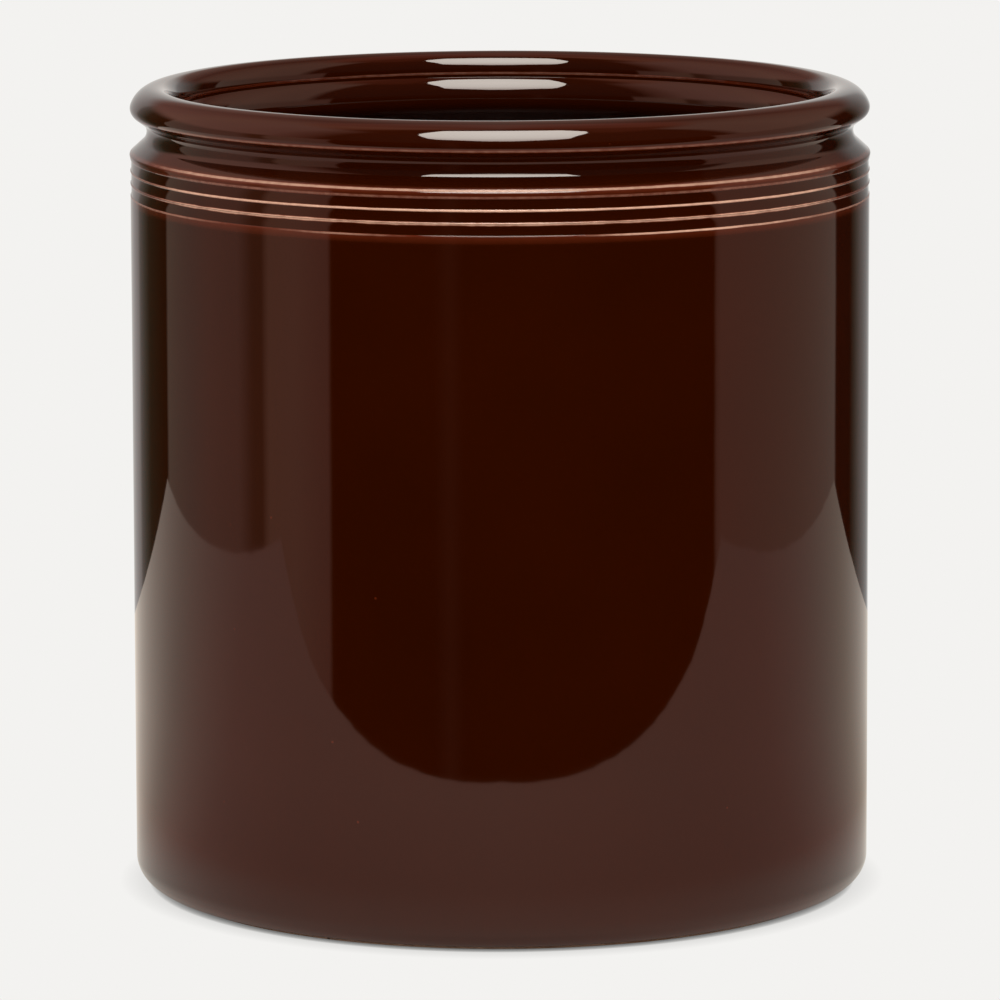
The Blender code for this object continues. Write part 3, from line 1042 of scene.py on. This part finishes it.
def add_light(context, studio):
    """Even light from all sides and one broad lamp overhead."""
    world = bpy.data.worlds.new("pale_backdrop")
    world.use_nodes = True
    tree = world.node_tree
    tree.nodes.clear()
    seen = node(tree, "Background", {"Color": (*studio.background, 1), "Strength": 1.0})
    ambient = node(tree, "Background", {"Color": (1, 1, 1, 1), "Strength": studio.room_light})
    rays = light_path(tree, "Is Camera Ray", "Is Glossy Ray", "Is Transmission Ray")
    mix = node(tree, "MixShader", {0: rays, 1: ambient.outputs["Background"], 2: seen.outputs["Background"]})
    node(tree, "OutputWorld", {"Surface": mix.outputs["Shader"]})
    context.scene.world = world
    deselect()
    bpy.ops.object.light_add(
        type="AREA",
        location=(0, -studio.softbox_middle, studio.softbox_height),
        rotation=(math.atan2(studio.softbox_middle, studio.softbox_height), 0, 0),
    )
    lamp = context.object
    lamp.name = "lamp_overhead"
    lamp.data.shape = "DISK"
    lamp.data.size = studio.lamp_width
    lamp.data.energy = studio.lamp_power
    lamp.visible_glossy = False


def add_camera(context, studio):
    """The camera at the height and distance that the jar was photographed from."""
    deselect()
    bpy.ops.object.camera_add(
        location=(studio.camera_side, -studio.camera_distance, studio.camera_height),
        rotation=(math.pi / 2 - studio.camera_tilt, studio.camera_roll, 0),
    )
    camera = context.object
    camera.data.lens = studio.camera_lens
    camera.data.sensor_width = studio.sensor_width
    context.scene.camera = camera


class COFFEEJAR_PT_panel(bpy.types.Panel):
    """Lists the jar's sizes, its colours and the steps that make it"""

    bl_idname = "COFFEEJAR_PT_panel"
    bl_label = "Coffee Jar"
    bl_space_type = "VIEW_3D"
    bl_region_type = "UI"
    bl_category = "Coffee Jar"

    def draw(self, context):
        for step in STEPS:
            self.layout.operator(step.bl_idname)
        for group in (context.scene.jar_sizes, context.scene.jar_colours, context.scene.studio_sizes):
            box = self.layout.box()
            for name in group.__annotations__:
                box.prop(group, name)


STEPS = (
    COFFEEJAR_OT_clay_body,
    COFFEEJAR_OT_outer_glaze,
    COFFEEJAR_OT_liner_glaze,
    COFFEEJAR_OT_base_glaze,
    COFFEEJAR_OT_studio,
)
GROUPS = {"jar_sizes": JarSizes, "jar_colours": JarColours, "studio_sizes": StudioSizes}
CLASSES = (*GROUPS.values(), *STEPS, COFFEEJAR_PT_panel)


def register():
    for made in CLASSES:
        bpy.utils.register_class(made)
    for name, group in GROUPS.items():
        setattr(bpy.types.Scene, name, PointerProperty(type=group))


def unregister():
    for name in GROUPS:
        delattr(bpy.types.Scene, name)
    for made in reversed(CLASSES):
        bpy.utils.unregister_class(made)


def main():
    register()
    bpy.ops.coffee_jar.clay_body()
    bpy.ops.coffee_jar.outer_glaze()
    bpy.ops.coffee_jar.liner_glaze()
    bpy.ops.coffee_jar.base_glaze()
    bpy.ops.coffee_jar.studio()


if __name__ == "__main__":
    main()
